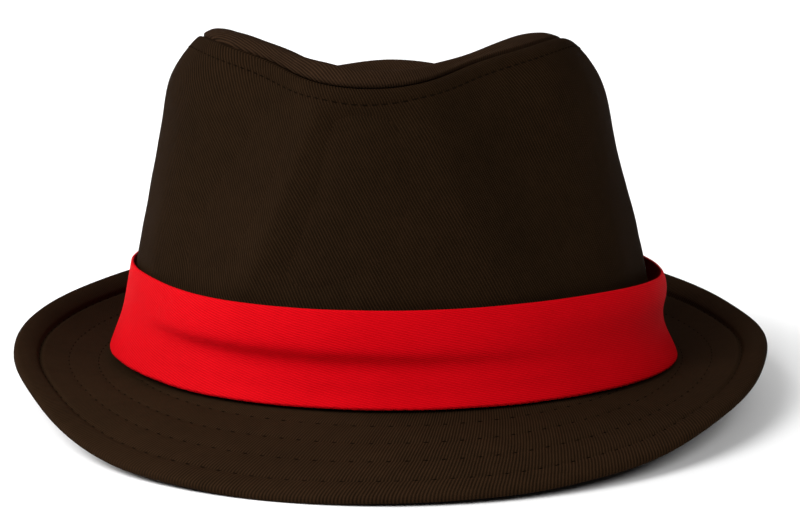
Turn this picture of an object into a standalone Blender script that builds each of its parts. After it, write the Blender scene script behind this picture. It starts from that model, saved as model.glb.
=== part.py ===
# A cloth fedora: crown side, crown tip, brim and hatband, lying as it rests on a table.
# Metres, +Z up, the front of the hat towards -Y, origin at the bottom centre of its bounding box.

import math

import bmesh
import bpy
import numpy as np

# Head opening and crown. Its front corners are pinched in: the pinch starts and reaches its full depth
# at shares of the height, and swings away from the front towards the foot.
HEAD_WIDTH = 0.165
HEAD_LENGTH = 0.200
CROWN_WALL = 0.0018
CROWN_HEIGHT = 0.110
CROWN_LEAN = 0.0036
CROWN_EGG = 0.06
PINCH_DEPTH = 0.006
PINCH_TURN = math.radians(38)
PINCH_SWING = math.radians(13)
PINCH_SPREAD = math.radians(17)
PINCH_FROM = 0.1
PINCH_FULL = 0.9

# Crown tip, the dented panel on top. Its rolled edge rises less on the right, by ROLL_SLANT of its rise.
TIP_WALL = 0.0016
ROLL_RISE = 0.0045
ROLL_INSET = 0.0045
ROLL_SLANT = 0.25
DENT_SIDE = 0.85
VALLEY_LENGTH = 0.110
VALLEY_BACK = 0.006

# Brim. Its front dips a little more on the left.
BRIM_WIDTH = 0.045
BRIM_THICK = 0.0026
BRIM_LEDGE = 0.001
BRIM_TWIST = math.radians(3)

# Hatband. Its foot is a little higher than the crown's, and dips by BAND_DIP in front.
BAND_HEIGHT = 0.0288
BAND_FOOT = 0.0006
BAND_DIP = 0.0006
BAND_THICK = 0.0014
BAND_SLACK = 0.0045

# Clearance between neighbouring pieces, and how far the cloth flattens where the hat rests
GAP = 0.0003
SETTLE = 0.0005

# Around the crown's seam: turn from the front in degrees, seam height as a share of CROWN_HEIGHT,
# rise of the rolled edge above it as a share of ROLL_RISE
SEAM = [
    (0, 0.828, 1.00),
    (36, 0.872, 0.70),
    (72, 0.918, 0.30),
    (108, 0.826, 0.45),
    (144, 0.705, 0.80),
    (180, 0.722, 1.00),
]

# Up the crown: share of the seam height, then the width, front length and back length as shares of
# those at the foot
TAPER = [
    (0.00, 1.000, 1.000, 1.000),
    (0.25, 0.955, 0.965, 0.975),
    (0.50, 0.896, 0.925, 0.940),
    (0.75, 0.834, 0.880, 0.900),
    (0.90, 0.776, 0.840, 0.865),
    (1.00, 0.672, 0.790, 0.820),
]

# Along the bottom of the dent, front to back: place from -1 to 1, height as a share of CROWN_HEIGHT
VALLEY = [
    (-1.0, 0.80),
    (-0.5, 0.77),
    (0.0, 0.73),
    (0.5, 0.66),
    (1.0, 0.69),
]

# Around the brim: turn from the front in degrees, width as a share of BRIM_WIDTH, upward slope in
# degrees at the crown, upward slope in degrees at the edge
BRIM = [
    (0, 1.00, -17, -30),
    (36, 0.94, -13, -20),
    (72, 0.77, -2, 15),
    (108, 0.71, 4, 32),
    (144, 0.77, 8, 44),
    (180, 0.82, 10, 50),
]

# Where the band's edges leave the level: turn from the front and spread in degrees, lift of the foot
# and of the top as shares of BAND_HEIGHT
BAND_EDGES = [
    (92, 42, 0.00, -0.10),
    (-68, 26, 0.055, 0.02),
]

# Where the band stands off the crown: turn from the front and spread in degrees, height and spread
# as shares of BAND_HEIGHT, stand-off as a share of BAND_SLACK
BAND_FOLDS = [
    (82, 30, 0.86, 0.30, 1.15),
    (75, 28, 0.0, 0.28, 0.95),
    (-88, 42, 0.0, 0.30, 0.50),
    (0, 62, 0.20, 0.20, 0.30),
    (0, 62, 0.80, 0.20, 0.25),
]

# Mesh divisions
COLUMNS = 64
CROWN_ROWS = 9
TIP_ROWS = 9
ROLL_ROWS = 2
BRIM_ROWS = 7
BAND_ROWS = 6
SLOPE_STEPS = 24
ROW_CROWDING = 1.3
SEAM_STEP = 0.03
TILT_LIMIT = math.radians(20)
TILT_HALVINGS = 40

# Colours as seen, red, green and blue out of 255
BLACK_BROWN = (42, 29, 20)
RED = (205, 8, 24)
CLOTH_ROUGHNESS = 0.9


def around(rows, column):
    """Smooth function of the turn, the same on both sides, through one column of a table."""
    turns = np.radians([row[0] for row in rows])
    waves = np.arange(len(rows))
    values = np.array([row[column] for row in rows], dtype=float)
    weights = np.linalg.solve(np.cos(np.outer(turns, waves)), values)
    return lambda turn: np.cos(np.multiply.outer(turn, waves)) @ weights


def along(rows, column):
    """Natural cubic spline through one column of a table."""
    places = np.array([row[0] for row in rows], dtype=float)
    values = np.array([row[column] for row in rows], dtype=float)
    steps = np.diff(places)
    slopes = np.diff(values) / steps
    matrix = np.eye(len(rows))
    right = np.zeros(len(rows))
    for k in range(1, len(rows) - 1):
        matrix[k, k - 1:k + 2] = steps[k - 1], 2 * (steps[k - 1] + steps[k]), steps[k]
        right[k] = 6 * (slopes[k] - slopes[k - 1])
    bends = np.linalg.solve(matrix, right)

    def spline(place):
        k = np.clip(np.searchsorted(places, place) - 1, 0, len(steps) - 1)
        step = steps[k]
        after = place - places[k]
        before = places[k + 1] - place
        curve = (bends[k] * before**3 + bends[k + 1] * after**3) / (6 * step)
        line = (values[k] * before + values[k + 1] * after) / step
        return curve + line - step / 6 * (bends[k] * before + bends[k + 1] * after)

    return spline


seam_share = around(SEAM, 1)
roll_share = around(SEAM, 2)
width_share = along(TAPER, 1)
front_share = along(TAPER, 2)
back_share = along(TAPER, 3)
valley_share = along(VALLEY, 1)
brim_share = around(BRIM, 1)
slope_at_crown = around(BRIM, 2)
slope_at_edge = around(BRIM, 3)


def ease(value):
    """Smooth step from 0 to 1."""
    value = np.clip(value, 0.0, 1.0)
    return value * value * (3 - 2 * value)


def bell(value):
    """Smooth hump, 1 at 0."""
    return np.exp(-value * value)


def apart(turn, place):
    """Signed angle from a place around the hat to a turn."""
    return (turn - place + math.pi) % (2 * math.pi) - math.pi


def outward(x, y):
    """Level direction away from the crown at a point on one of its ovals."""
    slope_x = x / HEAD_WIDTH**2
    slope_y = y / HEAD_LENGTH**2
    size = np.hypot(slope_x, slope_y)
    return np.stack([slope_x / size, slope_y / size, 0 * size], axis=-1)


def oval(turn, margin):
    """Point on the head opening's oval, moved out by a margin."""
    x = (HEAD_WIDTH / 2 + margin) * np.sin(turn)
    y = -(HEAD_LENGTH / 2 + margin) * np.cos(turn)
    return np.stack([x, y, 0 * x], axis=-1)


def crown_face(turn, share):
    """Outer face of the crown's side, from 0 at the foot to 1 at the seam."""
    foot = oval(turn, CROWN_WALL)
    facing = np.cos(turn)
    length = np.where(facing > 0, front_share(share), back_share(share))
    x = foot[..., 0] * width_share(share) * (1 - CROWN_EGG * ease(share) * facing)
    y = foot[..., 1] * length
    side = np.abs(apart(turn, 0)) - PINCH_TURN - PINCH_SWING * (1 - share)
    grown = ease((share - PINCH_FROM) / (PINCH_FULL - PINCH_FROM))
    pinch = PINCH_DEPTH * bell(side / PINCH_SPREAD) * grown
    point = np.stack([x, y, share * CROWN_HEIGHT * seam_share(turn)], axis=-1)
    point -= outward(x, y) * pinch[..., None]
    point[..., 0] -= CROWN_LEAN * share**1.5
    return point


def tip_face(turn, share):
    """Outer face of the tip: 0 at the seam, 1 on the line along the bottom of the dent."""
    seam = crown_face(turn, np.ones_like(share))
    slope = seam - crown_face(turn, np.ones_like(share) - SEAM_STEP)
    edge = seam + slope / np.linalg.norm(slope, axis=-1, keepdims=True) * GAP
    middle = np.stack([0 * turn - CROWN_LEAN, VALLEY_BACK - VALLEY_LENGTH / 2 * np.cos(turn)], axis=-1)
    across = middle - edge[..., :2]
    reach = np.hypot(across[..., 0], across[..., 1])
    roll = ROLL_ROWS / TIP_ROWS
    inset = np.where(share < roll, ROLL_INSET * share / roll,
                     ROLL_INSET + (reach - ROLL_INSET) * (share - roll) / (1 - roll))
    level = edge[..., :2] + across * (inset / reach)[..., None]
    full = ROLL_RISE * roll_share(turn) * (1 - ROLL_SLANT * np.sin(turn))
    rise = full * np.sin(np.clip(inset / ROLL_INSET, 0, 1) * math.pi / 2)
    fall = ease((inset - ROLL_INSET) / (DENT_SIDE * reach - ROLL_INSET))
    place = (level[..., 1] - VALLEY_BACK) / (VALLEY_LENGTH / 2)
    valley = CROWN_HEIGHT * valley_share(np.clip(place, -1, 1))
    height = (edge[..., 2] + rise) * (1 - fall) + valley * fall
    return np.concatenate([level, height[..., None]], axis=-1)


def brim_face(turn, share):
    """Top face of the brim beyond its ledge, from 0 at the crown to 1 at the edge."""
    start = oval(turn, CROWN_WALL + BRIM_LEDGE)
    length = BRIM_WIDTH * brim_share(turn) * share / SLOPE_STEPS
    first = np.radians(slope_at_crown(turn))
    last = np.radians(slope_at_edge(turn)) + BRIM_TWIST * np.sin(2 * turn)
    out = np.zeros_like(share)
    up = np.zeros_like(share)
    for step in range(SLOPE_STEPS):
        slope = first + (last - first) * share * (step + 0.5) / SLOPE_STEPS
        out = out + np.cos(slope) * length
        up = up + np.sin(slope) * length
    point = start + outward(start[..., 0], start[..., 1]) * out[..., None]
    point[..., 2] = up - GAP
    return point


def band_stand_off(turn, share):
    """How far the band's inner face stands off the crown."""
    total = np.zeros_like(share)
    for place, spread, height, height_spread, depth in BAND_FOLDS:
        beside = bell(apart(turn, math.radians(place)) / math.radians(spread))
        above = bell((share - height) / height_spread)
        total = total + BAND_SLACK * depth * beside * above
    return GAP + total


def band_height(turn, share):
    """Height of a place on the band over the head opening."""
    height = BAND_FOOT - BAND_DIP * ease(np.cos(turn)) + BAND_HEIGHT * share
    for place, spread, foot, top in BAND_EDGES:
        beside = bell(apart(turn, math.radians(place)) / math.radians(spread))
        height = height + BAND_HEIGHT * (foot * (1 - share) + top * share) * beside
    return height


def band_face(turn, share, depth):
    """Face of the band, from 0 at its foot to 1 at its top, a depth out from its inner face."""
    height = band_height(turn, share)
    point = crown_face(turn, height / (CROWN_HEIGHT * seam_share(turn)))
    stand = band_stand_off(turn, share) + depth
    return point + outward(point[..., 0], point[..., 1]) * stand[..., None]


def grid(face, rows):
    """Points of a face, row by row, each row once around the hat."""
    turn = np.arange(COLUMNS) * 2 * math.pi / COLUMNS
    return np.array([face(turn, np.full(COLUMNS, share)) for share in rows])


def grid_normals(points, welded=False):
    """Unit normals of a grid. A welded grid's last row is met from both sides."""
    beside = np.roll(points, -1, axis=1)
    faces = np.cross(beside[1:] - points[:-1], points[1:] - beside[:-1])
    faces = faces + np.roll(faces, 1, axis=1)
    normals = np.zeros_like(points)
    normals[:-1] += faces
    normals[1:] += faces
    if welded:
        normals[-1] += normals[-1][-np.arange(COLUMNS)]
    return normals / np.linalg.norm(normals, axis=-1, keepdims=True)


def rest_tilt(underside):
    """Angle that lets the brim's front edge and its back touch the table together."""
    low = 0.0
    high = TILT_LIMIT
    for _ in range(TILT_HALVINGS):
        tilt = (low + high) / 2
        height = underside[..., 2] * math.cos(tilt) - underside[..., 1] * math.sin(tilt)
        front_is_low = height[underside[..., 1] < 0].min() < height[underside[..., 1] >= 0].min()
        if front_is_low:
            low = tilt
        else:
            high = tilt
    return (low + high) / 2


def tilted(points, tilt):
    """Points with the front of the hat raised by an angle."""
    turned = np.array(points)
    turned[..., 1] = points[..., 1] * math.cos(tilt) + points[..., 2] * math.sin(tilt)
    turned[..., 2] = points[..., 2] * math.cos(tilt) - points[..., 1] * math.sin(tilt)
    return turned


def skin(mesh, points, welded):
    """Vertices of a grid in a mesh. A welded grid's last row is one line, shared by both sides."""
    loose = points[:-1] if welded else points
    rows = [[mesh.verts.new(point) for point in row] for row in loose]
    if welded:
        middle = [mesh.verts.new(point) for point in points[-1][:COLUMNS // 2 + 1]]
        rows.append([middle[min(k, COLUMNS - k)] for k in range(COLUMNS)])
    return rows


def solid(name, outer, inner, material, welded=False):
    """Closed solid between an outer and an inner grid of points."""
    mesh = bmesh.new()
    out = skin(mesh, outer, welded)
    back = skin(mesh, inner, welded)
    for k in range(COLUMNS):
        n = (k + 1) % COLUMNS
        for low, high in zip(out, out[1:]):
            mesh.faces.new((low[k], low[n], high[n], high[k]))
        for low, high in zip(back, back[1:]):
            mesh.faces.new((low[k], high[k], high[n], low[n]))
        mesh.faces.new((out[0][n], out[0][k], back[0][k], back[0][n]))
        if not welded:
            mesh.faces.new((out[-1][k], out[-1][n], back[-1][n], back[-1][k]))
    data = bpy.data.meshes.new(name)
    mesh.to_mesh(data)
    mesh.free()
    data.shade_smooth()
    data.set_sharp_from_angle(angle=math.radians(50))
    data.materials.append(material)
    piece = bpy.data.objects.new(name, data)
    bpy.context.collection.objects.link(piece)
    return piece


def cloth(name, colour):
    """Woven cloth of one colour."""
    shares = np.array(colour) / 255
    linear = np.where(shares > 0.04045, ((shares + 0.055) / 1.055)**2.4, shares / 12.92)
    material = bpy.data.materials.new(name)
    material.use_nodes = True
    finish = material.node_tree.nodes["Principled BSDF"]
    finish.inputs["Base Color"].default_value = (*linear, 1.0)
    finish.inputs["Roughness"].default_value = CLOTH_ROUGHNESS
    finish.inputs["Metallic"].default_value = 0.0
    return material


def crown_side_grids():
    """Outer and inner faces of the crown's side, with rows closer together near the seam."""
    outer = grid(crown_face, [1 - (1 - k / CROWN_ROWS)**ROW_CROWDING for k in range(CROWN_ROWS + 1)])
    normals = grid_normals(outer)
    inner = outer - normals * CROWN_WALL
    inner[0, :, 2] = outer[0, :, 2]
    return outer, inner, normals[-1]


def crown_tip_grids(seam_normals):
    """Outer and inner faces of the tip, whose edge is square to the wall below it."""
    outer = grid(tip_face, [k / TIP_ROWS for k in range(TIP_ROWS + 1)])
    normals = grid_normals(outer, welded=True)
    normals[0] = seam_normals
    return outer, outer - normals * TIP_WALL


def brim_grids():
    """Top and underside of the brim, from its edge in to the ledge that carries the crown."""
    slope = grid(brim_face, [1 - k / BRIM_ROWS for k in range(BRIM_ROWS + 1)])
    ledge = grid(lambda turn, share: oval(turn, 0.0), [0.0])
    ledge[..., 2] = -GAP
    top = np.concatenate([slope, ledge])
    return top, top - grid_normals(top) * BRIM_THICK


def hatband_grids():
    """Outer and inner faces of the band."""
    rows = [k / BAND_ROWS for k in range(BAND_ROWS + 1)]
    outer = grid(lambda turn, share: band_face(turn, share, BAND_THICK), rows)
    inner = grid(lambda turn, share: band_face(turn, share, 0.0), rows)
    return outer, inner


def build():
    """All four pieces, lying as the hat rests."""
    side_outer, side_inner, seam_normals = crown_side_grids()
    tip_outer, tip_inner = crown_tip_grids(seam_normals)
    brim_top, brim_under = brim_grids()
    band_outer, band_inner = hatband_grids()

    tilt = rest_tilt(brim_under)
    under = tilted(brim_under, tilt)
    corners = np.concatenate([tilted(brim_top, tilt), under]).reshape(-1, 3)
    middle = (corners.min(axis=0) + corners.max(axis=0)) / 2
    move = np.array([-middle[0], -middle[1], -corners[:, 2].min() - SETTLE])

    def laid(points):
        return tilted(points, tilt) + move

    flat_under = laid(brim_under)
    flat_under[..., 2] = np.maximum(flat_under[..., 2], 0.0)

    solid("crown_side", laid(side_outer), laid(side_inner), cloth("crown_twill", BLACK_BROWN))
    solid("crown_tip", laid(tip_outer), laid(tip_inner), cloth("tip_twill", BLACK_BROWN), welded=True)
    solid("brim", laid(brim_top), flat_under, cloth("brim_twill", BLACK_BROWN))
    solid("hatband", laid(band_outer), laid(band_inner), cloth("band_twill", RED))


for old in list(bpy.data.objects):
    bpy.data.objects.remove(old, do_unlink=True)
build()
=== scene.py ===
# A cloth fedora in black-brown twill with a plain red twill hatband, lying as it rests on a table.
# Metres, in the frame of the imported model: the front of the hat is towards -Y.

import math

import bpy
import numpy as np
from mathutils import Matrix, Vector


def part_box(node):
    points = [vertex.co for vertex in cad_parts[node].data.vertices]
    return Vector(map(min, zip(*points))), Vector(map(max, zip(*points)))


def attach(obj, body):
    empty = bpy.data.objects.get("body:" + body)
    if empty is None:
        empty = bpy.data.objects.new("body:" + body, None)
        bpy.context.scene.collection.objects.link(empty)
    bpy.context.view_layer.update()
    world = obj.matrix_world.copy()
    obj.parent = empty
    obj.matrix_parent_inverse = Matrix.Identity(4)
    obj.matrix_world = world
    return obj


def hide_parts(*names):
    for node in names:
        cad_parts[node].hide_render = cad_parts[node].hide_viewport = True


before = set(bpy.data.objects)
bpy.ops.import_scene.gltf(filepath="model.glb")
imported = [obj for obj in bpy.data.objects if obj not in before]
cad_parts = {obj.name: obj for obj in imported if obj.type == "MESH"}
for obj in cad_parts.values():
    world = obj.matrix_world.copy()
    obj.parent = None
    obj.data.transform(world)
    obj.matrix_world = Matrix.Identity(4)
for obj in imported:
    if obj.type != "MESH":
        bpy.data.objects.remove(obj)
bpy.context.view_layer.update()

# Sizes of the hat, with the width of the head read from the frame
side_low, side_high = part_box("crown_side")
CROWN_WALL = 0.0018
HEAD_WIDTH = side_high[0] - side_low[0] - 2 * CROWN_WALL
HEAD_LENGTH = 0.200
CROWN_HEIGHT = 0.110
CROWN_LEAN = 0.0036
CROWN_EGG = 0.06
PINCH_DEPTH = 0.006
PINCH_TURN = math.radians(38)
PINCH_SWING = math.radians(13)
PINCH_SPREAD = math.radians(17)
PINCH_FROM = 0.1
PINCH_FULL = 0.9
TIP_WALL = 0.0016
ROLL_RISE = 0.0045
ROLL_INSET = 0.0045
ROLL_SLANT = 0.25
ROLL_PART = 2 / 9
DENT_SIDE = 0.85
VALLEY_LENGTH = 0.110
VALLEY_BACK = 0.006
BRIM_WIDTH = 0.045
BRIM_THICK = 0.0026
BRIM_LEDGE = 0.001
BRIM_TWIST = math.radians(3)
BAND_HEIGHT = 0.0288
BAND_FOOT = 0.0006
BAND_DIP = 0.0006
BAND_THICK = 0.0014
BAND_SLACK = 0.0045
GAP = 0.0003
SETTLE = 0.0005

# Where the sides of the hat begin, in degrees from the front, and over how many more they grow full
SIDE_FROM = 40
SIDE_GROWS = 40

# Around the crown's seam: turn from the front in degrees, seam height as a share of CROWN_HEIGHT,
# rise of the rolled edge above it as a share of ROLL_RISE
SEAM = [
    (0, 0.828, 1.00),
    (36, 0.872, 0.70),
    (72, 0.918, 0.30),
    (108, 0.826, 0.45),
    (144, 0.705, 0.80),
    (180, 0.722, 1.00),
]

# Up the crown: share of the seam height, then the width, front length and back length as shares of
# those at the foot
TAPER = [
    (0.00, 1.000, 1.000, 1.000),
    (0.25, 0.955, 0.965, 0.975),
    (0.50, 0.896, 0.925, 0.940),
    (0.75, 0.834, 0.880, 0.900),
    (0.90, 0.776, 0.840, 0.865),
    (1.00, 0.672, 0.790, 0.820),
]

# Along the bottom of the dent, front to back: place from -1 to 1, height as a share of CROWN_HEIGHT
VALLEY = [
    (-1.0, 0.80),
    (-0.5, 0.77),
    (0.0, 0.73),
    (0.5, 0.66),
    (1.0, 0.69),
]

# Around the brim: turn from the front in degrees, width as a share of BRIM_WIDTH, upward slope in
# degrees at the crown, upward slope in degrees at the edge
BRIM = [
    (0, 1.00, -17, -30),
    (36, 0.94, -13, -20),
    (72, 0.77, -2, 15),
    (108, 0.71, 4, 32),
    (144, 0.77, 8, 44),
    (180, 0.82, 10, 50),
]

# Where the band's edges leave the level: turn from the front and spread in degrees, lift of the foot
# and of the top as shares of BAND_HEIGHT
BAND_EDGES = [
    (96, 34, 0.00, -0.10),
    (-68, 26, 0.055, 0.02),
]

# Where the band stands off the crown: turn from the front and spread in degrees, height and spread
# as shares of BAND_HEIGHT, stand-off as a share of BAND_SLACK
BAND_FOLDS = [
    (82, 30, 0.88, 0.34, 0.84),
    (75, 28, 0.0, 0.30, 0.90),
    (-88, 42, 0.0, 0.38, 0.60),
    (0, 75, 0.0, 0.30, 0.36),
    (0, 70, 0.85, 0.40, 0.12),
    (0, 64, 0.0, 0.10, 0.20),
    (-2, 50, 0.27, 0.07, 0.03),
]

# Creases that run round the band, where the cloth above hangs over the cloth below: turn at each end
# in degrees, height at each end as a share of BAND_HEIGHT, half width as a share of BAND_HEIGHT,
# overhang as a share of BAND_SLACK
BAND_CREASES = [
    (-66, 58, 0.555, 0.455, 0.080, 0.86),
    (24, 110, 0.68, 0.60, 0.11, 0.17),
]

# How far up the band an overhang reaches as a share of BAND_HEIGHT, the shares of a crease's length
# over which it grows and fades, and how softly the band leaves the crown in metres
CREASE_REACH = 0.85
CREASE_START = 0.25
CREASE_END = 0.55
BAND_SOFTNESS = 0.0002

# Where the crown's side folds into flat faces: each end's turn in degrees and share of the way up,
# how deep the faces lie beside the fold in metres
CROWN_FOLDS = [
    (-36, 0.10, -14, 0.96, 0.0048),
    (34, 0.10, 15, 0.96, 0.0024),
]

# How softly a fold turns, how far its flat faces take to lie deep and to fade in metres, and the shares
# of the way up where they begin and over which they grow full
FOLD_HALF = 0.0035
FOLD_REACH = 0.014
FOLD_FLANK = 0.031
FOLD_FROM = 0.24
FOLD_GROWS = 0.2

# Where the tip's rolled edge sags or stands up: turn and spread in degrees, depth in metres
ROLL_SAGS = [
    (40, 18, 0.0016),
    (74, 8, -0.0004),
    (-38, 11, 0.0009),
    (-16, 8, -0.0003),
    (160, 14, -0.0008),
]

# How far in from the seam a sag grows full, ends and takes to fade, in metres
SAG_GROWS = 0.004
SAG_END = 0.030
SAG_FADES = 0.022

# Where the brim's edge leaves its plain curve: turn and spread in degrees, metres out, metres up
BRIM_SHIFTS = [
    (-57, 15, -0.0024, 0.0),
    (106, 14, 0.0, -0.0011),
]

# Gentle unevenness of each cloth: wavelength and height in metres, seed
CROWN_WAVES = (0.034, 0.00022, 3)
CROWN_RIPPLES = (0.009, 0.00004, 4)
TIP_WAVES = (0.030, 0.00025, 5)
BRIM_WAVES = (0.045, 0.00028, 7)
BAND_WAVES = (0.02, 0.00008, 9)

# How far that unevenness takes to grow full: in metres from the seam, as a share from the crown's foot
# and across the brim
CROWN_CALM = 0.012
TIP_CALM = 0.010
FOOT_CALM = 0.2
BRIM_CALM = 0.3

# The crown's seam: its groove, the cloth that puffs below it, and the row of stitches that lies
# TOPSTITCH below it. The shoulder's puff leans to the wearer's left by a share of itself
SEAM_DEPTH = 0.0009
SEAM_HALF = 0.0005
TOPSTITCH = 0.0053
TOPSTITCH_PUFF = 0.00012
TOPSTITCH_SINK = 0.0003
SHOULDER_PUFF = 0.0011
SHOULDER_LEAN = 0.60
SHOULDER_REACH = 0.0055

# The brim's rows of stitches: the first one lies EDGE_ROW in from the edge, and the cloth puffs beside
# them. SIDE marks what differs at the hat's sides
EDGE_ROW = 0.0078
ROW_STEP = 0.0093
STITCH_ROWS = 4
RIM_PUFF = 0.0004
SIDE_RIM_PUFF = 0.0008
RIM_SINK = 0.0003
SIDE_RIM_SINK = 0.0010
ROW_PUFF = 0.00022
ROW_SINK_SHARE = 0.6
SIDE_ROW_SHARE = 0.2
ROW_GROWS = 0.1
ROW_MARGIN = 0.002
UNDER_SHARE = 0.6

# Roundness of the puffed cloth, and half the width of a row's groove in metres
PUFF_ROUND = 0.8
STITCH_HALF = 0.0006

# Stitches: their pitch in metres and the share of it that lies on the cloth, then the width of the
# thread in metres, how far it stands up and dives as shares of that, and how round its ends are
CROWN_STITCH = 0.0030
CROWN_STITCH_SHOWS = 0.72
BRIM_STITCH = 0.0053
BRIM_STITCH_SHOWS = 0.30
THREAD_WIDTH = 0.00032
THREAD_RAISE = 0.22
THREAD_DIVE = 0.6
THREAD_ROUND = 0.6

# How much thinner the band is at its top edge in metres, and over which share of its height
BAND_THINNED = 0.0005
BAND_THINNED_NEAR = 0.10

# Flat patterns: radius in metres of the curve that each panel is cut to
CROWN_APEX = 0.40
BRIM_APEX = 0.48
BAND_APEX = 1.5

# Mesh divisions. SEAM_ZONE is the top share of the side, where the rows draw together, and ROLL_ZONE
# the outer share of the tip
COLUMNS = 512
SIDE_ROWS = 76
SEAM_ROWS = 38
SEAM_ZONE = 0.1
SEAM_CROWDING = 1.5
SIDE_INNER_ROWS = 34
ROLL_ROWS = 34
ROLL_ZONE = 0.3
DENT_ROWS = 70
TIP_INNER_ROWS = 36
BRIM_ROWS = 88
BRIM_EDGE_ROWS = 7
BAND_ROWS = 64
BAND_INNER_ROWS = 48
BAND_EDGE_ROWS = 5
THREAD_RINGS = 5
THREAD_SIDES = 6
PLAIN_ROWS = 36
PLAIN_COLUMNS = 256
RIPPLE_COUNT = 14
SLOPE_STEPS = 24
TILT_LIMIT = math.radians(20)
TILT_HALVINGS = 40
SEAM_STEP = 0.03


# Smooth curves through tables

def around(rows, column):
    """Smooth function of the turn, the same on both sides, through one column of a table."""
    turns = np.radians([row[0] for row in rows])
    waves = np.arange(len(rows))
    values = np.array([row[column] for row in rows], dtype=float)
    weights = np.linalg.solve(np.cos(np.outer(turns, waves)), values)
    return lambda turn: np.cos(np.multiply.outer(turn, waves)) @ weights


def along(rows, column):
    """Natural cubic spline through one column of a table."""
    places = np.array([row[0] for row in rows], dtype=float)
    values = np.array([row[column] for row in rows], dtype=float)
    steps = np.diff(places)
    slopes = np.diff(values) / steps
    matrix = np.eye(len(rows))
    right = np.zeros(len(rows))
    for k in range(1, len(rows) - 1):
        matrix[k, k - 1:k + 2] = steps[k - 1], 2 * (steps[k - 1] + steps[k]), steps[k]
        right[k] = 6 * (slopes[k] - slopes[k - 1])
    bends = np.linalg.solve(matrix, right)

    def spline(place):
        k = np.clip(np.searchsorted(places, place) - 1, 0, len(steps) - 1)
        step = steps[k]
        after = place - places[k]
        before = places[k + 1] - place
        curve = (bends[k] * before**3 + bends[k + 1] * after**3) / (6 * step)
        line = (values[k] * before + values[k + 1] * after) / step
        return curve + line - step / 6 * (bends[k] * before + bends[k + 1] * after)

    return spline


seam_share = around(SEAM, 1)
roll_share = around(SEAM, 2)
width_share = along(TAPER, 1)
front_share = along(TAPER, 2)
back_share = along(TAPER, 3)
valley_share = along(VALLEY, 1)
brim_share = around(BRIM, 1)
slope_at_crown = around(BRIM, 2)
slope_at_edge = around(BRIM, 3)


def ease(value):
    """Smooth step from 0 to 1."""
    value = np.clip(value, 0.0, 1.0)
    return value * value * (3 - 2 * value)


def bell(value):
    """Smooth hump, 1 at 0."""
    return np.exp(-value * value)


def apart(turn, place):
    """Signed angle from a place around the hat to a turn."""
    return (turn - place + math.pi) % (2 * math.pi) - math.pi


# The hat's faces, before it is laid down

def outward(x, y):
    """Level direction away from the crown at a point on one of its ovals."""
    slope_x = x / HEAD_WIDTH**2
    slope_y = y / HEAD_LENGTH**2
    size = np.hypot(slope_x, slope_y)
    return np.stack([slope_x / size, slope_y / size, 0 * size], axis=-1)


def oval(turn, margin):
    """Point on the head opening's oval, moved out by a margin."""
    x = (HEAD_WIDTH / 2 + margin) * np.sin(turn)
    y = -(HEAD_LENGTH / 2 + margin) * np.cos(turn)
    return np.stack([x, y, 0 * x], axis=-1)


def crown_face(turn, share):
    """Outer face of the crown's side, from 0 at the foot to 1 at the seam."""
    foot = oval(turn, CROWN_WALL)
    facing = np.cos(turn)
    length = np.where(facing > 0, front_share(share), back_share(share))
    x = foot[..., 0] * width_share(share) * (1 - CROWN_EGG * ease(share) * facing)
    y = foot[..., 1] * length
    side = np.abs(apart(turn, 0)) - PINCH_TURN - PINCH_SWING * (1 - share)
    grown = ease((share - PINCH_FROM) / (PINCH_FULL - PINCH_FROM))
    pinch = PINCH_DEPTH * bell(side / PINCH_SPREAD) * grown
    point = np.stack([x, y, share * CROWN_HEIGHT * seam_share(turn)], axis=-1)
    point -= outward(x, y) * pinch[..., None]
    point[..., 0] -= CROWN_LEAN * share**1.5
    return point


def tip_face(turn, share):
    """Outer face of the tip: 0 at the seam, 1 on the line along the bottom of the dent."""
    seam = crown_face(turn, np.ones_like(share))
    slope = seam - crown_face(turn, np.ones_like(share) - SEAM_STEP)
    edge = seam + slope / np.linalg.norm(slope, axis=-1, keepdims=True) * GAP
    middle = np.stack([0 * turn - CROWN_LEAN, VALLEY_BACK - VALLEY_LENGTH / 2 * np.cos(turn)], axis=-1)
    across = middle - edge[..., :2]
    reach = np.hypot(across[..., 0], across[..., 1])
    inset = np.where(share < ROLL_PART, ROLL_INSET * share / ROLL_PART,
                     ROLL_INSET + (reach - ROLL_INSET) * (share - ROLL_PART) / (1 - ROLL_PART))
    level = edge[..., :2] + across * (inset / reach)[..., None]
    full = ROLL_RISE * roll_share(turn) * (1 - ROLL_SLANT * np.sin(turn))
    rise = full * np.sin(np.clip(inset / ROLL_INSET, 0, 1) * math.pi / 2)
    fall = ease((inset - ROLL_INSET) / (DENT_SIDE * reach - ROLL_INSET))
    place = (level[..., 1] - VALLEY_BACK) / (VALLEY_LENGTH / 2)
    valley = CROWN_HEIGHT * valley_share(np.clip(place, -1, 1))
    height = (edge[..., 2] + rise) * (1 - fall) + valley * fall
    return np.concatenate([level, height[..., None]], axis=-1)


def brim_face(turn, share):
    """Top face of the brim beyond its ledge, from 0 at the crown to 1 at the edge."""
    start = oval(turn, CROWN_WALL + BRIM_LEDGE)
    length = BRIM_WIDTH * brim_share(turn) * share / SLOPE_STEPS
    first = np.radians(slope_at_crown(turn))
    last = np.radians(slope_at_edge(turn)) + BRIM_TWIST * np.sin(2 * turn)
    out = np.zeros_like(share)
    up = np.zeros_like(share)
    for step in range(SLOPE_STEPS):
        slope = first + (last - first) * share * (step + 0.5) / SLOPE_STEPS
        out = out + np.cos(slope) * length
        up = up + np.sin(slope) * length
    point = start + outward(start[..., 0], start[..., 1]) * out[..., None]
    point[..., 2] = up - GAP
    return point


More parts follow.
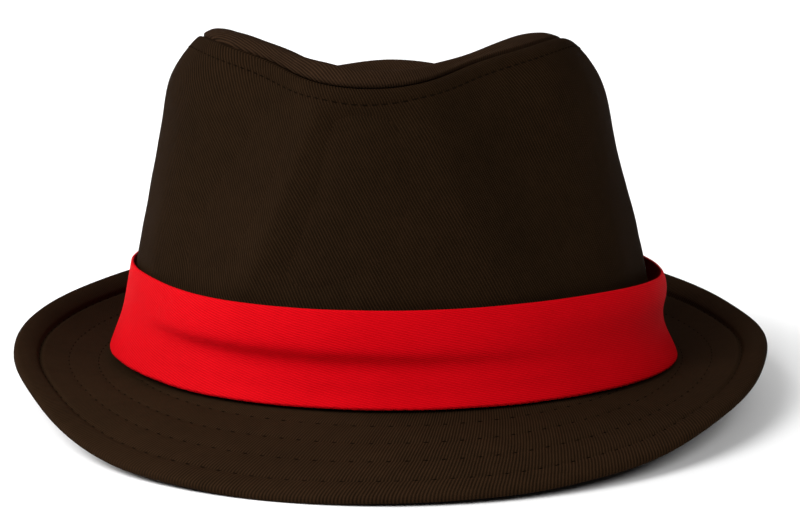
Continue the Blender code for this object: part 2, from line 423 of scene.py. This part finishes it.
def band_stand_off(turn, share):
    """How far the band's inner face stands off the crown."""
    total = np.zeros_like(share)
    for place, spread, height, height_spread, depth in BAND_FOLDS:
        beside = apart(turn, math.radians(place)) / math.radians(spread)
        above = (share - height) / height_spread
        total = total + BAND_SLACK * depth * np.exp(-beside**2 - above**2)
    for start, end, start_height, end_height, half, depth in BAND_CREASES:
        part = (np.degrees(apart(turn, 0)) - start) / (end - start)
        above = share - start_height - (end_height - start_height) * part
        overhang = (1 + np.tanh(above / half)) / 2 * bell(above / CREASE_REACH)
        total = total + (BAND_SLACK * depth * overhang * ease(part / CREASE_START)
                         * ease((1 - part) / CREASE_END))
    return GAP + BAND_SOFTNESS * np.logaddexp(0.0, total / BAND_SOFTNESS)


def band_height(turn, share):
    """Height of a place on the band over the head opening."""
    height = BAND_FOOT - BAND_DIP * ease(np.cos(turn)) + BAND_HEIGHT * share
    for place, spread, foot, top in BAND_EDGES:
        beside = bell(apart(turn, math.radians(place)) / math.radians(spread))
        height = height + BAND_HEIGHT * (foot * (1 - share) + top * share) * beside
    return height


def band_face(turn, share, depth):
    """Face of the band, from 0 at its foot to 1 at its top, a depth out from its inner face."""
    height = band_height(turn, share)
    point = crown_face(turn, height / (CROWN_HEIGHT * seam_share(turn)))
    stand = band_stand_off(turn, share) + depth
    return point + outward(point[..., 0], point[..., 1]) * stand[..., None]


# Grids of points

def grid(shares, columns=COLUMNS):
    """Turn and share at each point of a grid, whose rows go once round the hat from the back."""
    turn = -math.pi + np.arange(columns) * 2 * math.pi / columns
    return np.meshgrid(turn, np.asarray(shares, dtype=float))


def grid_normals(points, welded=False):
    """Unit normals of a grid. A welded grid's last row is met from both sides."""
    beside = np.roll(points, -1, axis=1)
    faces = np.cross(beside[1:] - points[:-1], points[1:] - beside[:-1])
    faces = faces + np.roll(faces, 1, axis=1)
    normals = np.zeros_like(points)
    normals[:-1] += faces
    normals[1:] += faces
    if welded:
        normals[-1] += normals[-1][-np.arange(points.shape[1])]
    return normals / np.linalg.norm(normals, axis=-1, keepdims=True)


def raised(points, normals, height):
    """Points moved along their normals."""
    return points + normals * height[..., None]


def walked(points):
    """Distance along each column of a grid from its first row."""
    steps = np.linalg.norm(np.diff(points, axis=0), axis=-1)
    return np.concatenate([np.zeros((1, points.shape[1])), np.cumsum(steps, axis=0)])


def ripples(points, wavelength, amount, seed):
    """Gentle unevenness of cloth: a sum of level waves in seeded directions."""
    draw = np.random.default_rng(seed)
    total = np.zeros(points.shape[:-1])
    for _ in range(RIPPLE_COUNT):
        way = draw.normal(size=3)
        way *= 2 * math.pi / (np.linalg.norm(way) * wavelength * draw.uniform(0.7, 1.6))
        total += np.cos(points @ way + draw.uniform(0, 2 * math.pi))
    return total * amount / math.sqrt(RIPPLE_COUNT)


# How the hat lies

def rest_tilt(underside):
    """Angle that lets the brim's front edge and its back touch the table together."""
    low = 0.0
    high = TILT_LIMIT
    for _ in range(TILT_HALVINGS):
        tilt = (low + high) / 2
        height = underside[..., 2] * math.cos(tilt) - underside[..., 1] * math.sin(tilt)
        front_is_low = height[underside[..., 1] < 0].min() < height[underside[..., 1] >= 0].min()
        if front_is_low:
            low = tilt
        else:
            high = tilt
    return (low + high) / 2


def tilted(points, tilt):
    """Points with the front of the hat raised by an angle."""
    turned = np.array(points, dtype=float)
    turned[..., 1] = points[..., 1] * math.cos(tilt) + points[..., 2] * math.sin(tilt)
    turned[..., 2] = points[..., 2] * math.cos(tilt) - points[..., 1] * math.sin(tilt)
    return turned


plain_top = brim_face(*grid(np.linspace(1, 0, PLAIN_ROWS), PLAIN_COLUMNS))
plain_under = plain_top - grid_normals(plain_top) * BRIM_THICK
TILT = rest_tilt(plain_under)
plain_corners = tilted(np.concatenate([plain_top, plain_under]), TILT).reshape(-1, 3)
brim_low, brim_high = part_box("brim")
MOVE = np.array([
    (brim_low[0] + brim_high[0]) / 2 - (plain_corners[:, 0].min() + plain_corners[:, 0].max()) / 2,
    (brim_low[1] + brim_high[1]) / 2 - (plain_corners[:, 1].min() + plain_corners[:, 1].max()) / 2,
    -plain_corners[:, 2].min() - SETTLE,
])


def laid(points):
    """Points of the hat as it lies, none of them below the table."""
    placed = tilted(points, TILT) + MOVE
    placed[..., 2] = np.maximum(placed[..., 2], 0.0)
    return placed


# Making pieces

def finish_piece(name, vertices, faces, uvs, material):
    """A smooth mesh piece that rides with the hat and takes its finish from a slot."""
    data = bpy.data.meshes.new(name)
    data.from_pydata(vertices, [], faces)
    if uvs is not None:
        layer = data.uv_layers.new(name="cloth")
        layer.data.foreach_set("uv", uvs.astype(np.float32).ravel())
    data.shade_smooth()
    data.materials.append(material)
    piece = bpy.data.objects.new(name, data)
    bpy.context.collection.objects.link(piece)
    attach(piece, "root")
    return piece


def sheet_piece(name, points, uv, material, ends_meet):
    """Piece from rows of points that each go once round the hat. Either its last row meets its first
    one, or its first and last rows are each folded to one line along the middle of the hat."""
    rows, columns = points.shape[:2]
    index = np.arange(rows * columns).reshape(rows, columns)
    if not ends_meet:
        folded = np.minimum(np.arange(columns), columns - np.arange(columns))
        for row in (0, rows - 1):
            index[row] = index[row][folded]
    below = index if ends_meet else index[:-1]
    above = np.roll(index, -1, axis=0) if ends_meet else index[1:]
    quads = np.stack([below, np.roll(below, -1, axis=1), np.roll(above, -1, axis=1), above], axis=-1)
    low_uv = uv if ends_meet else uv[:-1]
    high_uv = np.roll(uv, -1, axis=0) if ends_meet else uv[1:]
    loops = np.stack([low_uv[:, :-1], low_uv[:, 1:], high_uv[:, 1:], high_uv[:, :-1]], axis=2)
    used, compact = np.unique(quads, return_inverse=True)
    vertices = points.reshape(-1, 3)[used].tolist()
    faces = compact.reshape(-1, 4).tolist()
    return finish_piece(name, vertices, faces, loops.reshape(-1, 2), material)


def wrapped(turn):
    """Turns of a grid with the first column repeated at the end, one whole turn on."""
    return np.concatenate([turn, turn[:, :1] + 2 * math.pi], axis=1)


def cone_uv(turn, down, radius, apex):
    """Place on the flat cloth, in metres, of a side panel cut as part of a ring."""
    angle = wrapped(turn) * radius / apex
    reach = apex - np.concatenate([down, down[:, :1]], axis=1)
    return np.stack([reach * np.sin(angle), -reach * np.cos(angle)], axis=-1)


def curved_uv(turn, reach, radius, apex):
    """Place on the flat cloth, in metres, of a brim cut as a curved strip."""
    angle = wrapped(turn) * radius / apex
    out = apex + np.concatenate([reach, reach[:, :1]], axis=1)
    return np.stack([out * np.sin(angle), -out * np.cos(angle)], axis=-1)


def panel_uv(points, inward):
    """Place on the flat cloth, in metres, of a panel that reaches in from its edge to its last row."""
    middle = points[-1, :, :2]
    out = points[0, :, :2] - middle
    out = out / np.linalg.norm(out, axis=-1, keepdims=True)
    flat = middle + out * (inward[-1] - inward)[..., None]
    return np.concatenate([flat, flat[:, :1]], axis=1)


def edge_rows(outer, inner, away, steps):
    """Half-round rows that join the last row of one face to that of the other."""
    middle = (outer + inner) / 2
    across = (outer - inner) / 2
    size = np.linalg.norm(across, axis=-1, keepdims=True)
    away = away / np.linalg.norm(away, axis=-1, keepdims=True) * size
    angles = [math.pi * k / (steps + 1) for k in range(1, steps + 1)]
    return np.array([middle + across * math.cos(angle) + away * math.sin(angle) for angle in angles])


# Materials

# Twill: width of a yarn in metres, how far its lines and yarns wander, the shares that make up its
# relief and its tone, and the tones at which it has its dark and its light colour. The relief's share
# of the tone is painted shade in the furrows and painted light on the ridges
YARN = 0.00030
LINE_WANDER = 3.0
YARN_WANDER = 1.2
LINE_RELIEF = 0.70
GRAIN_RELIEF = 0.14
FIBRE_RELIEF = 0.24
PAINTED_SHADING_TONE = 0.75
PATCHY_TONE = 0.22
MOTTLE_TONE = 0.18
DARK_AT = 0.22
LIGHT_AT = 0.86

# Fineness of the strands of a thread
STRAND_SCALE = 3500


def linear(colour):
    """Scene colour of red, green and blue out of 255 as seen."""
    shares = np.array(colour) / 255
    return np.where(shares > 0.04045, ((shares + 0.055) / 1.055)**2.4, shares / 12.92)


def twill(name, dark, light, slant, pitch, depth, sheen, sheen_tint, specular):
    """Twill cloth. slant is the angle of its lines from the width of the cloth in degrees, pitch the
    distance between them and depth their height in metres."""
    material = bpy.data.materials.new(name)
    material.use_nodes = True
    tree = material.node_tree
    shader = tree.nodes["Principled BSDF"]

    def node(kind, **settings):
        made = tree.nodes.new(kind)
        for key, value in settings.items():
            setattr(made, key, value)
        return made

    def maths(operation, first, second=None, third=None):
        made = node("ShaderNodeMath", operation=operation)
        for socket, value in zip(made.inputs, (first, second, third)):
            if value is None:
                continue
            if isinstance(value, (int, float)):
                socket.default_value = value
            else:
                tree.links.new(value, socket)
        return made.outputs[0]

    def blended(first, *others):
        total = maths("MULTIPLY", *first)
        for part in others:
            total = maths("ADD", total, maths("MULTIPLY", *part))
        return total

    place = node("ShaderNodeUVMap", uv_map="cloth").outputs[0]
    split = node("ShaderNodeSeparateXYZ")
    tree.links.new(place, split.inputs[0])
    across, up = split.outputs[0], split.outputs[1]

    def noise(scale, detail, roughness=0.5):
        made = node("ShaderNodeTexNoise", noise_dimensions="2D")
        tree.links.new(place, made.inputs["Vector"])
        made.inputs["Scale"].default_value = scale
        made.inputs["Detail"].default_value = detail
        made.inputs["Roughness"].default_value = roughness
        return made.outputs["Fac"]

    def wave(x_share, y_share, length, wander):
        phase = maths("MULTIPLY_ADD", across, 2 * math.pi * x_share / length,
                      maths("MULTIPLY", up, 2 * math.pi * y_share / length))
        return maths("MULTIPLY_ADD", maths("SINE", maths("ADD", phase, wander)), 0.5, 0.5)

    angle = math.radians(slant)
    line_wander = maths("MULTIPLY", noise(110, 2), LINE_WANDER)
    yarn_wander = maths("MULTIPLY", noise(400, 2), YARN_WANDER)
    line = wave(math.sin(angle), -math.cos(angle), pitch, line_wander)
    warp = wave(1, 0, YARN, yarn_wander)
    weft = wave(0, 1, YARN, yarn_wander)
    grain = maths("MULTIPLY", warp, weft)
    fibre = noise(2600, 3, 0.7)
    patchy = noise(34, 4, 0.6)
    mottle = noise(260, 3, 0.6)
    relief = blended((line, LINE_RELIEF), (grain, GRAIN_RELIEF), (fibre, FIBRE_RELIEF))
    # The tone follows the relief: painted shade in the twill's furrows, painted light on its ridges
    tone = blended((relief, PAINTED_SHADING_TONE), (patchy, PATCHY_TONE), (mottle, MOTTLE_TONE))
    ramp = node("ShaderNodeValToRGB")
    for stop, position, colour in zip(ramp.color_ramp.elements, (DARK_AT, LIGHT_AT), (dark, light)):
        stop.position = position
        stop.color = (*linear(colour), 1)
    tree.links.new(tone, ramp.inputs[0])
    tree.links.new(ramp.outputs[0], shader.inputs["Base Color"])

    bump = node("ShaderNodeBump")
    bump.inputs["Strength"].default_value = 1.0
    bump.inputs["Distance"].default_value = depth
    tree.links.new(relief, bump.inputs["Height"])
    tree.links.new(bump.outputs[0], shader.inputs["Normal"])

    shader.inputs["Roughness"].default_value = 0.75
    shader.inputs["Specular IOR Level"].default_value = specular
    shader.inputs["Sheen Weight"].default_value = sheen
    shader.inputs["Sheen Roughness"].default_value = 0.45
    shader.inputs["Sheen Tint"].default_value = (*linear(sheen_tint), 1)
    return material


def dark_twill(name, **cloth):
    """The matt black-brown twill of the crown and brim."""
    return twill(name, sheen=0.004, sheen_tint=(120, 85, 65), specular=0.004, **cloth)


def thread(name, colour):
    """Sewing thread: fine strands twisted round it."""
    material = bpy.data.materials.new(name)
    material.use_nodes = True
    tree = material.node_tree
    shader = tree.nodes["Principled BSDF"]
    place = tree.nodes.new("ShaderNodeTexCoord")
    strands = tree.nodes.new("ShaderNodeTexNoise")
    strands.inputs["Scale"].default_value = STRAND_SCALE
    tree.links.new(place.outputs["Object"], strands.inputs["Vector"])
    ramp = tree.nodes.new("ShaderNodeValToRGB")
    ramp.color_ramp.elements[0].color = (*(linear(colour) * 0.6), 1)
    ramp.color_ramp.elements[1].color = (*(linear(colour) * 1.4), 1)
    tree.links.new(strands.outputs["Fac"], ramp.inputs[0])
    tree.links.new(ramp.outputs[0], shader.inputs["Base Color"])
    shader.inputs["Roughness"].default_value = 0.6
    shader.inputs["Specular IOR Level"].default_value = 0.0
    return material


# The tip and the brim wear the crown's cloth in lighter colours: painted light, standing in for light
# the lamps don't give them
crown_cloth = dark_twill("crown twill", dark=(13, 8, 4), light=(38, 25, 14), slant=-62,
                         pitch=0.00090, depth=0.00040)
tip_cloth = dark_twill("tip twill painted lighter", dark=(17, 11, 6), light=(47, 32, 21), slant=-58,
                       pitch=0.00088, depth=0.00030)
brim_cloth = dark_twill("brim twill painted lighter", dark=(16, 10, 5), light=(41, 27, 16), slant=71,
                        pitch=0.00086, depth=0.00020)
band_cloth = twill("band twill", dark=(156, 0, 5), light=(184, 3, 15), slant=-15,
                   pitch=0.00070, depth=0.00010, sheen=0.03, sheen_tint=(255, 60, 80), specular=0.02)
dark_thread = thread("dark thread", (11, 7, 4))


# Pieces of the hat

def at_side(turn):
    """From 0 in front to 1 at the sides and back."""
    return ease((np.abs(np.degrees(apart(turn, 0))) - SIDE_FROM) / SIDE_GROWS)


def crown_flats(turn, share):
    """Depth of the flat faces that lie beside the crown's folds."""
    total = np.zeros_like(share)
    above_band = ease((share - FOLD_FROM) / FOLD_GROWS)
    for low_turn, low_share, high_turn, high_share, depth in CROWN_FOLDS:
        part = (share - low_share) / (high_share - low_share)
        fold = np.radians(low_turn + (high_turn - low_turn) * part)
        aside = np.hypot(apart(turn, fold) * HEAD_WIDTH / 2, FOLD_HALF) - FOLD_HALF
        total += depth * (1 - np.exp(-aside / FOLD_REACH)) * bell(aside / FOLD_FLANK) * above_band
    return total


def crown_side():
    """The crown's side panel, with its turned seam and the cloth shaped round the row of stitches below
    it. Gives back its face for those stitches.
    """
    rows_below = np.linspace(0, 1 - SEAM_ZONE, SIDE_ROWS, endpoint=False)
    top_rows = 1 - SEAM_ZONE * (1 - np.linspace(0, 1, SEAM_ROWS))**SEAM_CROWDING
    turn, share = grid(np.concatenate([rows_below, top_rows]))
    outer = crown_face(turn, share)
    normals = grid_normals(outer)
    down = walked(outer[::-1])[::-1]
    puff = TOPSTITCH_PUFF * np.sin(math.pi * np.clip(down / TOPSTITCH, 0, 1))**PUFF_ROUND
    shoulder = SHOULDER_PUFF * (1 + SHOULDER_LEAN * np.sin(turn))
    reach = down / SHOULDER_REACH
    height = puff + shoulder * reach * np.exp(1 - reach) - SEAM_DEPTH * bell(down / SEAM_HALF)
    height -= TOPSTITCH_SINK * (1 - at_side(turn)) * bell((down - TOPSTITCH) / STITCH_HALF)
    calm = ease(down / CROWN_CALM) * ease(share / FOOT_CALM)
    height += ripples(outer, *CROWN_WAVES) * calm + ripples(outer, *CROWN_RIPPLES) * calm
    height -= crown_flats(turn, share) * calm
    face = raised(outer, normals, height)

    inner_turn, inner_share = grid(np.linspace(1, 0, SIDE_INNER_ROWS))
    plain = crown_face(inner_turn, inner_share)
    inner = plain - grid_normals(plain[::-1])[::-1] * CROWN_WALL
    inner[-1, :, 2] = 0.0
    points = np.concatenate([face, inner])
    turns = np.concatenate([turn, inner_turn])
    up = np.concatenate([down.max(axis=0) - down, walked(plain)[::-1]])
    uv = cone_uv(turns, up, HEAD_WIDTH / 2 + CROWN_WALL, CROWN_APEX)
    piece = sheet_piece("crown_side_cloth", laid(points), uv, crown_cloth, True)
    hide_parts("crown_side")
    return laid(face), down


def crown_tip():
    """The tip panel: its rolled edge and the dent."""
    roll_rows = np.linspace(0, ROLL_ZONE, ROLL_ROWS, endpoint=False)
    turn, share = grid(np.concatenate([roll_rows, np.linspace(ROLL_ZONE, 1, DENT_ROWS)]))
    outer = tip_face(turn, share)
    normals = grid_normals(outer, welded=True)
    inward = walked(outer)
    height = -SEAM_DEPTH * bell(inward / SEAM_HALF)
    height += ripples(outer, *TIP_WAVES) * ease(inward / TIP_CALM)
    face = raised(outer, normals, height)
    for place, spread, depth in ROLL_SAGS:
        beside = bell(apart(turn, math.radians(place)) / math.radians(spread))
        face[..., 2] -= depth * beside * ease(inward / SAG_GROWS) * ease((SAG_END - inward) / SAG_FADES)
    face[-1] = (face[-1] + face[-1][-np.arange(COLUMNS)]) / 2

    inner_turn, inner_share = grid(np.linspace(0, 1, TIP_INNER_ROWS))
    plain = tip_face(inner_turn, inner_share)
    inner = plain - grid_normals(plain, welded=True) * TIP_WALL
    inner[-1] = (inner[-1] + inner[-1][-np.arange(COLUMNS)]) / 2
    points = np.concatenate([inner[::-1], face])
    uv = np.concatenate([panel_uv(inner, walked(inner))[::-1], panel_uv(face, inward)])
    piece = sheet_piece("crown_tip_cloth", laid(points), uv, tip_cloth, False)
    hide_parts("crown_tip")


def brim_relief(turn, share):
    """Height of the brim's face over its plain form: puffed between its rows of stitches."""
    side = at_side(turn)
    past_rim = BRIM_WIDTH * brim_share(turn) * (1 - share) - EDGE_ROW
    rim_puff = RIM_PUFF + (SIDE_RIM_PUFF - RIM_PUFF) * side
    rim = rim_puff * np.sin(math.pi * np.clip(1 + past_rim / EDGE_ROW, 0, 1))**PUFF_ROUND
    rows_show = 1 - (1 - SIDE_ROW_SHARE) * side
    rows = ROW_PUFF * rows_show * np.abs(np.sin(math.pi * past_rim / ROW_STEP))
    height = np.where(past_rim > 0, rows, rim)
    rim_sink = RIM_SINK + (SIDE_RIM_SINK - RIM_SINK) * side
    row_sink = RIM_SINK * ROW_SINK_SHARE * rows_show
    for k in range(STITCH_ROWS):
        sink = rim_sink if k == 0 else row_sink
        height = height - sink * bell((past_rim - k * ROW_STEP) / STITCH_HALF)
    return height * ease(share / ROW_GROWS)


def shifted(turn, share, face):
    """The brim's face with its edge moved where it leaves its plain curve."""
    moved = np.array(face)
    for place, spread, out, up in BRIM_SHIFTS:
        part = bell(apart(turn, math.radians(place)) / math.radians(spread)) * share**2
        moved += outward(face[..., 0], face[..., 1]) * (out * part)[..., None]
        moved[..., 2] += up * part
    return moved


def brim():
    """The brim, with a rounded edge. Gives back its two faces for the stitches."""
    radius = BRIM_THICK / 2
    turn, share = grid(np.linspace(1, 0, BRIM_ROWS))
    share = share * (1 - radius / (BRIM_WIDTH * brim_share(turn)))
    top = shifted(turn, share, brim_face(turn, share))
    normals = grid_normals(top)
    relief = brim_relief(turn, share)
    wave = ripples(top, *BRIM_WAVES) * ease(share / BRIM_CALM)
    face = raised(top, normals, relief + wave)
    under = raised(top, -normals, BRIM_THICK + UNDER_SHARE * relief - wave)
    edge = edge_rows(under[0], face[0], top[0] - top[1], BRIM_EDGE_ROWS)
    ledge = oval(turn[0], 0.0)[None]
    ledge_top = ledge - [0, 0, GAP]
    ledge_under = ledge_top - [0, 0, BRIM_THICK]
    points = np.concatenate([edge, face, ledge_top, ledge_under, under[::-1]])
    reach = walked(top[::-1])[::-1]
    angles = np.arange(1, BRIM_EDGE_ROWS + 1) * math.pi / (BRIM_EDGE_ROWS + 1)
    over_edge = reach[:1] + radius * np.sin(angles)[:, None]
    ledges = np.full((2, COLUMNS), -BRIM_LEDGE)
    reach = np.concatenate([over_edge, reach, ledges, reach[::-1]])
    uv = curved_uv(turn[:1], reach, HEAD_WIDTH / 2 + BRIM_WIDTH / 2, BRIM_APEX)
    piece = sheet_piece("brim_cloth", laid(points), uv, brim_cloth, True)
    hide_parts("brim")
    return laid(face), laid(under), turn, share


def hatband():
    """The band: a folded strip with rounded edges and a few soft folds."""
    turn, share = grid(np.linspace(0, 1, BAND_ROWS))
    radius = BAND_THICK / 2 / BAND_HEIGHT
    share = radius + share * (1 - 2 * radius)
    outer = band_face(turn, share, BAND_THICK)
    outer += outward(outer[..., 0], outer[..., 1]) * ripples(outer, *BAND_WAVES)[..., None]
    inner_turn, inner_share = grid(np.linspace(1 - radius, radius, BAND_INNER_ROWS))
    thinned = BAND_THINNED * bell((1 - inner_share) / BAND_THINNED_NEAR)
    inner = band_face(inner_turn, inner_share, thinned)
    top = edge_rows(outer[-1], inner[0], outer[-1] - outer[-2], BAND_EDGE_ROWS)
    foot = edge_rows(inner[-1], outer[0], outer[0] - outer[1], BAND_EDGE_ROWS)
    points = np.concatenate([outer, top, inner, foot])
    turns = np.repeat(turn[:1], len(points), axis=0)
    uv = cone_uv(turns, walked(points), HEAD_WIDTH / 2 + CROWN_WALL, BAND_APEX)
    piece = sheet_piece("hatband_cloth", laid(points), uv, band_cloth, True)
    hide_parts("hatband")


# Stitches

def follow(points, row):
    """Points of a grid along a line whose fractional row is given for each column."""
    columns = np.arange(points.shape[1])
    low = np.clip(np.floor(row).astype(int), 0, len(points) - 2)
    part = (row - low)[:, None]
    return points[low, columns] * (1 - part) + points[low + 1, columns] * part


def row_of(values, target):
    """Fractional row at which each column of a rising grid of values reaches a target."""
    rows = np.arange(len(values))
    return np.array([np.interp(target, column, rows) for column in values.T])


def stitch_line(path, normals, length, shows, keep=None):
    """Centres, spans and normals of the stitches along a closed path. length is a stitch's pitch, shows
    the share of it that lies on the cloth, and keep is 0 where the path has no stitches."""
    steps = np.linalg.norm(np.roll(path, -1, axis=0) - path, axis=1)
    total = steps.sum()
    count = round(total / length)
    places = np.concatenate([[0], np.cumsum(steps)])
    closed = np.concatenate([path, path[:1]])
    closed_normals = np.concatenate([normals, normals[:1]])

    def at(distance, values):
        return np.stack([np.interp(distance % total, places, values[:, k]) for k in range(3)], axis=1)

    middle = (np.arange(count) + 0.5) * total / count
    half = length * shows / 2
    start, end = at(middle - half, closed), at(middle + half, closed)
    normal = at(middle, closed_normals)
    centre = (start + end) / 2
    if keep is not None:
        wanted = np.interp(middle, places, np.append(keep, keep[0])) > 0.5
        start, end, normal, centre = start[wanted], end[wanted], normal[wanted], centre[wanted]
    return centre, end - start, normal


def thread_mesh(centre, span, normal, base):
    """Vertices and faces of one short rounded thread whose ends dive into the cloth."""
    side = np.cross(span, normal)
    side /= np.linalg.norm(side)
    centre = centre + normal * THREAD_WIDTH * THREAD_RAISE
    dive = normal * THREAD_WIDTH * THREAD_DIVE
    vertices = [tuple(centre - span / 2 - dive)]
    for place in -np.cos(np.linspace(0, math.pi, THREAD_RINGS + 2))[1:-1]:
        size = THREAD_WIDTH / 2 * math.sqrt(max(0.0, 1 - place**2))**THREAD_ROUND
        middle = centre + span * place / 2 - dive * place**4
        for angle in np.arange(THREAD_SIDES) * 2 * math.pi / THREAD_SIDES:
            around_thread = side * size * math.cos(angle) + normal * size * math.sin(angle)
            vertices.append(tuple(middle + around_thread))
    vertices.append(tuple(centre + span / 2 - dive))
    last = base + 1 + THREAD_RINGS * THREAD_SIDES
    faces = []
    for k in range(THREAD_SIDES):
        n = (k + 1) % THREAD_SIDES
        faces.append((base, base + 1 + n, base + 1 + k))
        for ring in range(THREAD_RINGS - 1):
            low = base + 1 + ring * THREAD_SIDES
            high = low + THREAD_SIDES
            faces.append((low + k, low + n, high + n, high + k))
        faces.append((last, last - THREAD_SIDES + k, last - THREAD_SIDES + n))
    return vertices, faces


def stitches(name, lines, material):
    """One piece that holds every stitch of some rows."""
    vertices = []
    faces = []
    for line in lines:
        for centre, span, normal in zip(*line):
            normal = normal / np.linalg.norm(normal)
            stitch_vertices, stitch_faces = thread_mesh(centre, span, normal, len(vertices))
            vertices += stitch_vertices
            faces += stitch_faces
    finish_piece(name, vertices, faces, None, material)


def topstitch(face, down):
    """The row of stitches below the crown's seam."""
    row = row_of(down[::-1], TOPSTITCH)
    path = follow(face[::-1], row)
    normals = follow(grid_normals(face)[::-1], row)
    line = stitch_line(path, normals, CROWN_STITCH, CROWN_STITCH_SHOWS)
    stitches("crown_topstitch", [line], dark_thread)


def brim_stitches(face, under, turn, share):
    """Rows of stitches round the brim, on its top and its underside."""
    past_rim = BRIM_WIDTH * brim_share(turn) * (1 - share) - EDGE_ROW
    face_normals = grid_normals(face)
    lines = []
    for k in range(STITCH_ROWS):
        target = k * ROW_STEP
        keep = (past_rim.max(axis=0) > target + ROW_MARGIN).astype(float)
        row = row_of(past_rim, target)
        for side, way in ((face, 1), (under, -1)):
            path = follow(side, row)
            normals = way * follow(face_normals, row)
            lines.append(stitch_line(path, normals, BRIM_STITCH, BRIM_STITCH_SHOWS, keep))
    stitches("brim_stitches", lines, dark_thread)


topstitch(*crown_side())
crown_tip()
brim_stitches(*brim())
hatband()


# Studio: floor, light and camera
FLOOR_HALF = 6.0
FLOOR_DROP = 0.0002


def area_light(name, place, aim, size, power):
    """Square soft light that faces a point."""
    data = bpy.data.lights.new(name, "AREA")
    data.shape = "SQUARE"
    data.size = size
    data.energy = power
    light = bpy.data.objects.new(name, data)
    light.location = place
    light.rotation_euler = (Vector(aim) - Vector(place)).to_track_quat("-Z", "Y").to_euler()
    bpy.context.collection.objects.link(light)


def studio():
    """Pale floor, soft light from the upper left, and a pale surround."""
    corners = [(x * FLOOR_HALF, y * FLOOR_HALF, 0) for x, y in ((-1, -1), (1, -1), (1, 1), (-1, 1))]
    data = bpy.data.meshes.new("floor")
    data.from_pydata(corners, [], [(0, 1, 2, 3)])
    material = bpy.data.materials.new("floor")
    material.use_nodes = True
    finish = material.node_tree.nodes["Principled BSDF"]
    finish.inputs["Base Color"].default_value = (0.93, 0.93, 0.93, 1)
    finish.inputs["Roughness"].default_value = 0.9
    finish.inputs["Specular IOR Level"].default_value = 0.1
    data.materials.append(material)
    floor = bpy.data.objects.new("floor", data)
    floor.location.z = -FLOOR_DROP
    bpy.context.collection.objects.link(floor)

    world = bpy.data.worlds.new("studio")
    world.use_nodes = True
    surround = world.node_tree.nodes["Background"]
    surround.inputs["Color"].default_value = (1, 1, 1, 1)
    surround.inputs["Strength"].default_value = 0.05
    bpy.context.scene.world = world
    aim = (0, 0, 0.05)
    area_light("side", (-4.0, 0.6, 2.2), aim, 2.6, 225)
    area_light("front left", (-2.3, -2.4, 3.2), aim, 2.6, 200)
    area_light("front right", (2.3, -2.4, 3.2), aim, 2.6, 108)
    area_light("top", (0.0, -0.1, 4.5), aim, 3.2, 22)
    area_light("background", (0.0, 5.0, 3.0), (0, 5.5, 0), 3.0, 90)


# Camera: its place is set from the plane of the head opening, which leans back as the hat lies
CAMERA_TURN = math.radians(3)
CAMERA_RISE = math.radians(8.5)
CAMERA_DISTANCE = 1.2
AIM_HEIGHT = 0.0265
PIXELS_PER_METRE = 3170
FRAME_WIDTH = 800
AIM_PIXEL = 393
SENSOR = 36


def camera():
    """Camera at the photograph's angle to the hat."""
    aim = np.array([0, 0, AIM_HEIGHT])
    back = np.array([
        math.sin(CAMERA_TURN) * math.cos(CAMERA_RISE),
        -math.cos(CAMERA_TURN) * math.cos(CAMERA_RISE),
        math.sin(CAMERA_RISE),
    ])
    target = Vector(laid(aim))
    eye = Vector(laid(aim + back * CAMERA_DISTANCE))
    data = bpy.data.cameras.new("camera")
    data.sensor_width = SENSOR
    data.lens = PIXELS_PER_METRE * CAMERA_DISTANCE * SENSOR / FRAME_WIDTH
    data.shift_x = (FRAME_WIDTH / 2 - AIM_PIXEL) / FRAME_WIDTH
    data.clip_end = 50
    item = bpy.data.objects.new("camera", data)
    item.location = eye
    item.rotation_euler = (target - eye).to_track_quat("-Z", "Y").to_euler()
    bpy.context.collection.objects.link(item)
    bpy.context.scene.camera = item


studio()
camera()
bpy.context.scene.view_settings.view_transform = "Standard"
